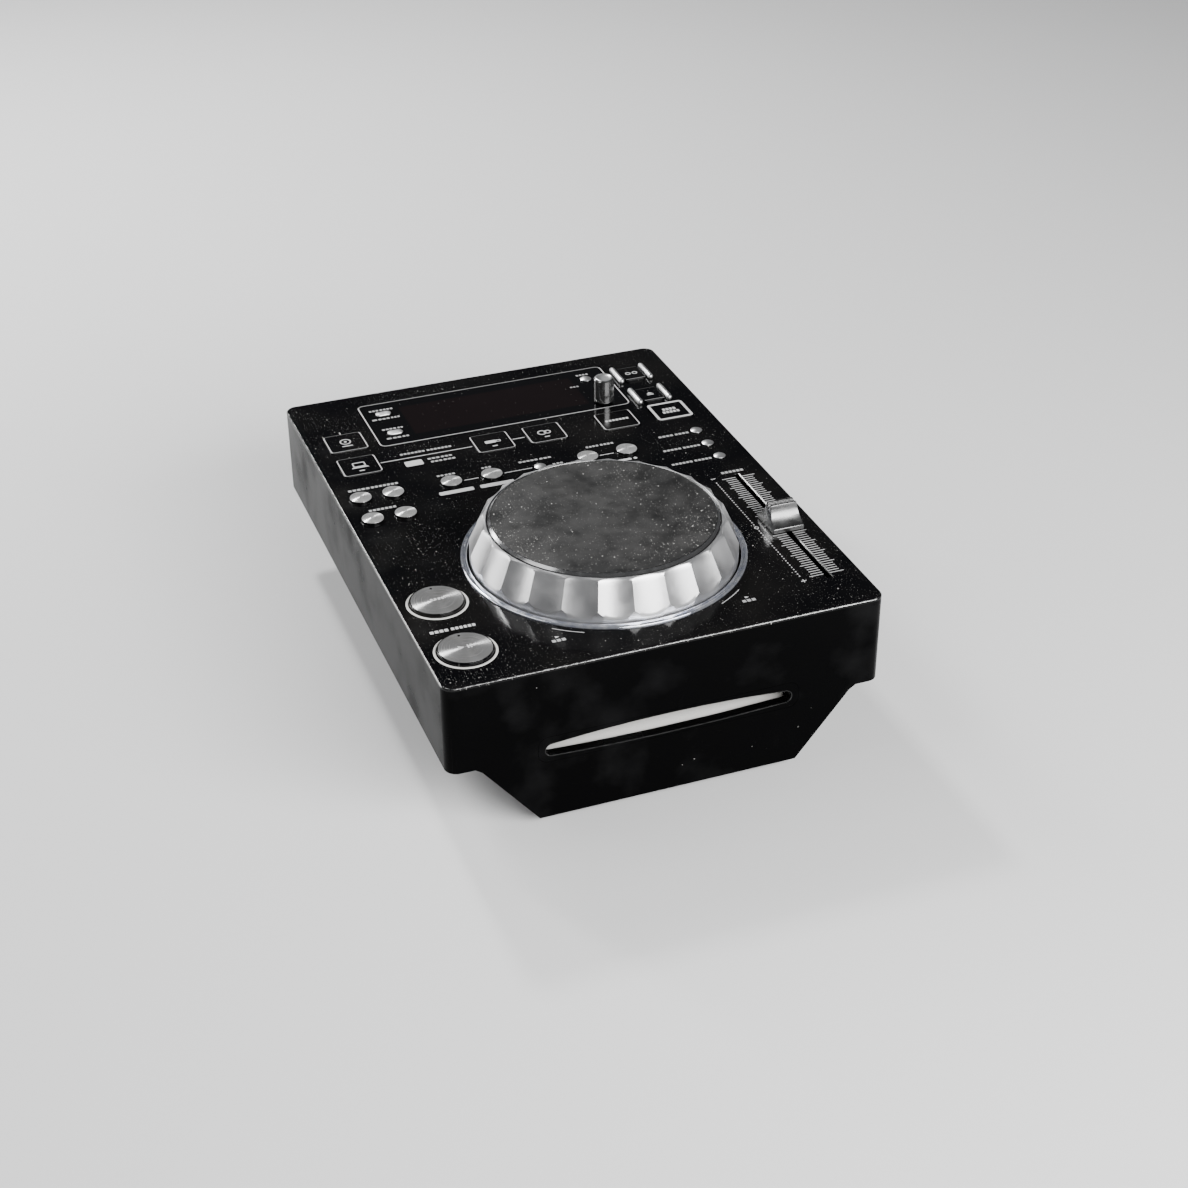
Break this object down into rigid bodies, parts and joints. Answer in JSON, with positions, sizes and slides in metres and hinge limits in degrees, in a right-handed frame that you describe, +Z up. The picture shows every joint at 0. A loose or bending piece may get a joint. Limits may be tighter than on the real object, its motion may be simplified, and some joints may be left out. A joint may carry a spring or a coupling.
{
  "type": "tabletop disc player",
  "caption": "Tabletop slot-loading disc player with a big jog dial, a tempo fader, a display, a rotary knob and push keys.",
  "frame": {"origin": "on the table, under the middle of the case", "axes": "+X to the right of whoever plays it, +Y to the socket panel at the rear, +Z up"},
  "size_m": [0.2178, 0.2962, 0.1076],
  "materials": {
    "gloss_black": "polished black",
    "plate_black": "polished black with a bright chamfer",
    "tray_black": "fine grain",
    "dark_steel": "satin dark grey paint",
    "foot_rubber": "matt",
    "screw_steel": "zinc plated",
    "felt_grey": "short felt",
    "window_smoke": "polished, tinted",
    "bright_chrome": "polished",
    "ring_white": "frosted",
    "display_dark": "dark glass",
    "board_green": "solder mask",
    "board_brown": "paper laminate",
    "socket_black": "moulded",
    "collar_clear": "clear, tinted",
    "spindle_steel": "turned",
    "jog_silver": "satin silver paint",
    "wheel_black": "film",
    "sensor_grey": "film",
    "jog_plate_grey": "matt dark grey with a gloss bevel",
    "fader_grey": "folded sheet",
    "knob_silver": "satin silver paint",
    "contact_brass": "plated",
    "turned_silver": "turned",
    "chassis_zinc": "zinc plated sheet",
    "motor_zinc": "drawn can",
    "hub_grey": "moulded",
    "puck_grey": "moulded",
    "sled_black": "moulded",
    "gear_white": "moulded",
    "roller_rubber": "ground",
    "key_black": "polished black",
    "key_grey": "satin grey",
    "key_silver": "satin silver",
    "spun_silver": "spun"
  },
  "bodies": {
    "case": {"top_plate": "plate_black", "upper_cabinet": "gloss_black", "lower_cabinet": "tray_black", "rear_panel": "dark_steel", "rubber_feet": "foot_rubber", "case_screws": "screw_steel", "slot_bezel": "gloss_black", "slot_felt": "felt_grey", "display_window": "window_smoke", "button_guards": "bright_chrome", "ring_lights": "ring_white", "display_module": "display_dark", "panel_board": "board_green", "main_board": "board_green", "power_board": "board_brown", "rear_sockets": "socket_black", "jog_collar": "collar_clear", "jog_spindle": "spindle_steel", "tempo_fader": "fader_grey", "drive_chassis": "chassis_zinc", "drive_motors": "motor_zinc"},
    "jog_wheel": {"jog_dial": "jog_silver", "jog_encoder_wheel": "wheel_black", "jog_touch_ring": "sensor_grey"},
    "touch_plate": {"jog_plate": "jog_plate_grey"},
    "tempo_slider": {"tempo_knob": "knob_silver"},
    "encoder": {"encoder_rotor": "contact_brass"},
    "rotary_knob": {"select_knob": "turned_silver"},
    "rocker": {"power_rocker": "socket_black"},
    "spindle": {"spindle_hub": "hub_grey"},
    "clamp": {"clamp_arm": "chassis_zinc"},
    "puck": {"clamp_puck": "puck_grey"},
    "sled": {"pickup_sled": "sled_black"},
    "pinion": {"sled_gear": "gear_white"},
    "roller": {"feed_roller": "roller_rubber"},
    "source_disc_key": {"source_disc_key": "key_black"},
    "source_computer_key": {"source_computer_key": "key_black"},
    "source_stick_key": {"source_stick_key": "key_black"},
    "source_link_key": {"source_link_key": "key_black"},
    "time_key": {"time_key": "key_grey"},
    "text_key": {"text_key": "key_grey"},
    "menu_key": {"menu_key": "key_grey"},
    "stick_stop_key": {"stick_stop_key": "key_black"},
    "eject_key": {"eject_key": "key_black"},
    "tempo_lock_key": {"tempo_lock_key": "key_black"},
    "playlist_key": {"playlist_key": "key_black"},
    "jog_mode_key": {"jog_mode_key": "key_grey"},
    "tempo_range_key": {"tempo_range_key": "key_grey"},
    "master_tempo_key": {"master_tempo_key": "key_grey"},
    "track_back_key": {"track_back_key": "key_silver"},
    "track_next_key": {"track_next_key": "key_silver"},
    "search_back_key": {"search_back_key": "key_silver"},
    "search_next_key": {"search_next_key": "key_silver"},
    "loop_in_key": {"loop_in_key": "key_silver"},
    "loop_out_key": {"loop_out_key": "key_silver"},
    "loop_exit_key": {"loop_exit_key": "key_grey"},
    "beat_half_key": {"beat_half_key": "key_silver"},
    "beat_double_key": {"beat_double_key": "key_silver"},
    "cue_key": {"cue_key": "spun_silver"},
    "play_key": {"play_key": "spun_silver"}
  },
  "joints": [
    {"name": "source_disc_press", "type": "slide", "parent": "case", "child": "source_disc_key", "axis": [0, 0, -1], "range_m": [0, 0.0012], "stiffness_N_per_m": 1000, "springref_m": -0.0005},
    {"name": "source_computer_press", "type": "slide", "parent": "case", "child": "source_computer_key", "axis": [0, 0, -1], "range_m": [0, 0.0012], "stiffness_N_per_m": 1000, "springref_m": -0.0005},
    {"name": "source_stick_press", "type": "slide", "parent": "case", "child": "source_stick_key", "axis": [0, 0, -1], "range_m": [0, 0.0012], "stiffness_N_per_m": 1000, "springref_m": -0.0005},
    {"name": "source_link_press", "type": "slide", "parent": "case", "child": "source_link_key", "axis": [0, 0, -1], "range_m": [0, 0.0012], "stiffness_N_per_m": 1000, "springref_m": -0.0005},
    {"name": "time_press", "type": "slide", "parent": "case", "child": "time_key", "axis": [0, 0, -1], "range_m": [0, 0.0012], "stiffness_N_per_m": 1000, "springref_m": -0.0005},
    {"name": "text_press", "type": "slide", "parent": "case", "child": "text_key", "axis": [0, 0, -1], "range_m": [0, 0.0012], "stiffness_N_per_m": 1000, "springref_m": -0.0005},
    {"name": "menu_press", "type": "slide", "parent": "case", "child": "menu_key", "axis": [0, 0, -1], "range_m": [0, 0.0012], "stiffness_N_per_m": 1000, "springref_m": -0.0005},
    {"name": "stick_stop_press", "type": "slide", "parent": "case", "child": "stick_stop_key", "axis": [0, 0, -1], "range_m": [0, 0.0012], "stiffness_N_per_m": 1000, "springref_m": -0.0005},
    {"name": "eject_press", "type": "slide", "parent": "case", "child": "eject_key", "axis": [0, 0, -1], "range_m": [0, 0.0012], "stiffness_N_per_m": 1000, "springref_m": -0.0005},
    {"name": "tempo_lock_press", "type": "slide", "parent": "case", "child": "tempo_lock_key", "axis": [0, 0, -1], "range_m": [0, 0.0012], "stiffness_N_per_m": 1000, "springref_m": -0.0005},
    {"name": "playlist_press", "type": "slide", "parent": "case", "child": "playlist_key", "axis": [0, 0, -1], "range_m": [0, 0.0012], "stiffness_N_per_m": 1000, "springref_m": -0.0005},
    {"name": "jog_mode_press", "type": "slide", "parent": "case", "child": "jog_mode_key", "axis": [0, 0, -1], "range_m": [0, 0.0012], "stiffness_N_per_m": 1000, "springref_m": -0.0005},
    {"name": "tempo_range_press", "type": "slide", "parent": "case", "child": "tempo_range_key", "axis": [0, 0, -1], "range_m": [0, 0.0012], "stiffness_N_per_m": 1000, "springref_m": -0.0005},
    {"name": "master_tempo_press", "type": "slide", "parent": "case", "child": "master_tempo_key", "axis": [0, 0, -1], "range_m": [0, 0.0012], "stiffness_N_per_m": 1000, "springref_m": -0.0005},
    {"name": "track_back_press", "type": "slide", "parent": "case", "child": "track_back_key", "axis": [0, 0, -1], "range_m": [0, 0.0012], "stiffness_N_per_m": 1000, "springref_m": -0.0005},
    {"name": "track_next_press", "type": "slide", "parent": "case", "child": "track_next_key", "axis": [0, 0, -1], "range_m": [0, 0.0012], "stiffness_N_per_m": 1000, "springref_m": -0.0005},
    {"name": "search_back_press", "type": "slide", "parent": "case", "child": "search_back_key", "axis": [0, 0, -1], "range_m": [0, 0.0012], "stiffness_N_per_m": 1000, "springref_m": -0.0005},
    {"name": "search_next_press", "type": "slide", "parent": "case", "child": "search_next_key", "axis": [0, 0, -1], "range_m": [0, 0.0012], "stiffness_N_per_m": 1000, "springref_m": -0.0005},
    {"name": "loop_in_press", "type": "slide", "parent": "case", "child": "loop_in_key", "axis": [0, 0, -1], "range_m": [0, 0.0012], "stiffness_N_per_m": 1000, "springref_m": -0.0005},
    {"name": "loop_out_press", "type": "slide", "parent": "case", "child": "loop_out_key", "axis": [0, 0, -1], "range_m": [0, 0.0012], "stiffness_N_per_m": 1000, "springref_m": -0.0005},
    {"name": "loop_exit_press", "type": "slide", "parent": "case", "child": "loop_exit_key", "axis": [0, 0, -1], "range_m": [0, 0.0012], "stiffness_N_per_m": 1000, "springref_m": -0.0005},
    {"name": "beat_half_press", "type": "slide", "parent": "case", "child": "beat_half_key", "axis": [0, 0, -1], "range_m": [0, 0.0012], "stiffness_N_per_m": 1000, "springref_m": -0.0005},
    {"name": "beat_double_press", "type": "slide", "parent": "case", "child": "beat_double_key", "axis": [0, 0, -1], "range_m": [0, 0.0012], "stiffness_N_per_m": 1000, "springref_m": -0.0005},
    {"name": "cue_press", "type": "slide", "parent": "case", "child": "cue_key", "axis": [0, 0, -1], "range_m": [0, 0.0012], "stiffness_N_per_m": 1000, "springref_m": -0.0005},
    {"name": "play_press", "type": "slide", "parent": "case", "child": "play_key", "axis": [0, 0, -1], "range_m": [0, 0.0012], "stiffness_N_per_m": 1000, "springref_m": -0.0005},
    {"name": "jog_turn", "type": "hinge", "parent": "case", "child": "jog_wheel", "pos_m": [0, -0.061, 0.0985], "axis": [0, 0, 1], "continuous": true},
    {"name": "jog_touch", "type": "slide", "parent": "jog_wheel", "child": "touch_plate", "axis": [0, 0, -1], "range_m": [0, 0.0006], "stiffness_N_per_m": 2500, "springref_m": -0.0006},
    {"name": "tempo_slide", "type": "slide", "parent": "case", "child": "tempo_slider", "axis": [0, 1, 0], "range_m": [-0.05, 0.05]},
    {"name": "select_turn", "type": "hinge", "parent": "case", "child": "encoder", "pos_m": [0.0586, 0.09195, 0.079], "axis": [0, 0, 1], "continuous": true},
    {"name": "select_press", "type": "slide", "parent": "encoder", "child": "rotary_knob", "axis": [0, 0, -1], "range_m": [0, 0.0006], "stiffness_N_per_m": 1500, "springref_m": -0.0006},
    {"name": "power_rock", "type": "hinge", "parent": "case", "child": "rocker", "pos_m": [0.044, 0.13965, 0.0625], "axis": [1, 0, 0], "range_deg": [0, 18]},
    {"name": "spindle_turn", "type": "hinge", "parent": "case", "child": "spindle", "pos_m": [0, -0.05, 0.0413], "axis": [0, 0, 1], "continuous": true},
    {"name": "clamp_swing", "type": "hinge", "parent": "case", "child": "clamp", "pos_m": [0, 0.02, 0.05125], "axis": [1, 0, 0], "range_deg": [0, 5]},
    {"name": "puck_turn", "type": "hinge", "parent": "clamp", "child": "puck", "pos_m": [0, -0.04973, 0.05735], "axis": [0, 0.0872, 0.9962], "continuous": true},
    {"name": "sled_slide", "type": "slide", "parent": "case", "child": "sled", "axis": [0, 1, 0], "range_m": [0, 0.035]},
    {"name": "pinion_turn", "type": "hinge", "parent": "case", "child": "pinion", "pos_m": [0.0392, -0.008, 0.03], "axis": [0, 0, -1], "range_deg": [-1, 336]},
    {"name": "roller_turn", "type": "hinge", "parent": "case", "child": "roller", "pos_m": [0, -0.116, 0.0384], "axis": [1, 0, 0], "continuous": true}
  ],
  "couplings": [
    {"joint": "puck_turn", "follows": "spindle_turn", "ratio": 1},
    {"joint": "pinion_turn", "follows": "sled_slide", "rad_per_m": 166.67}
  ]
}
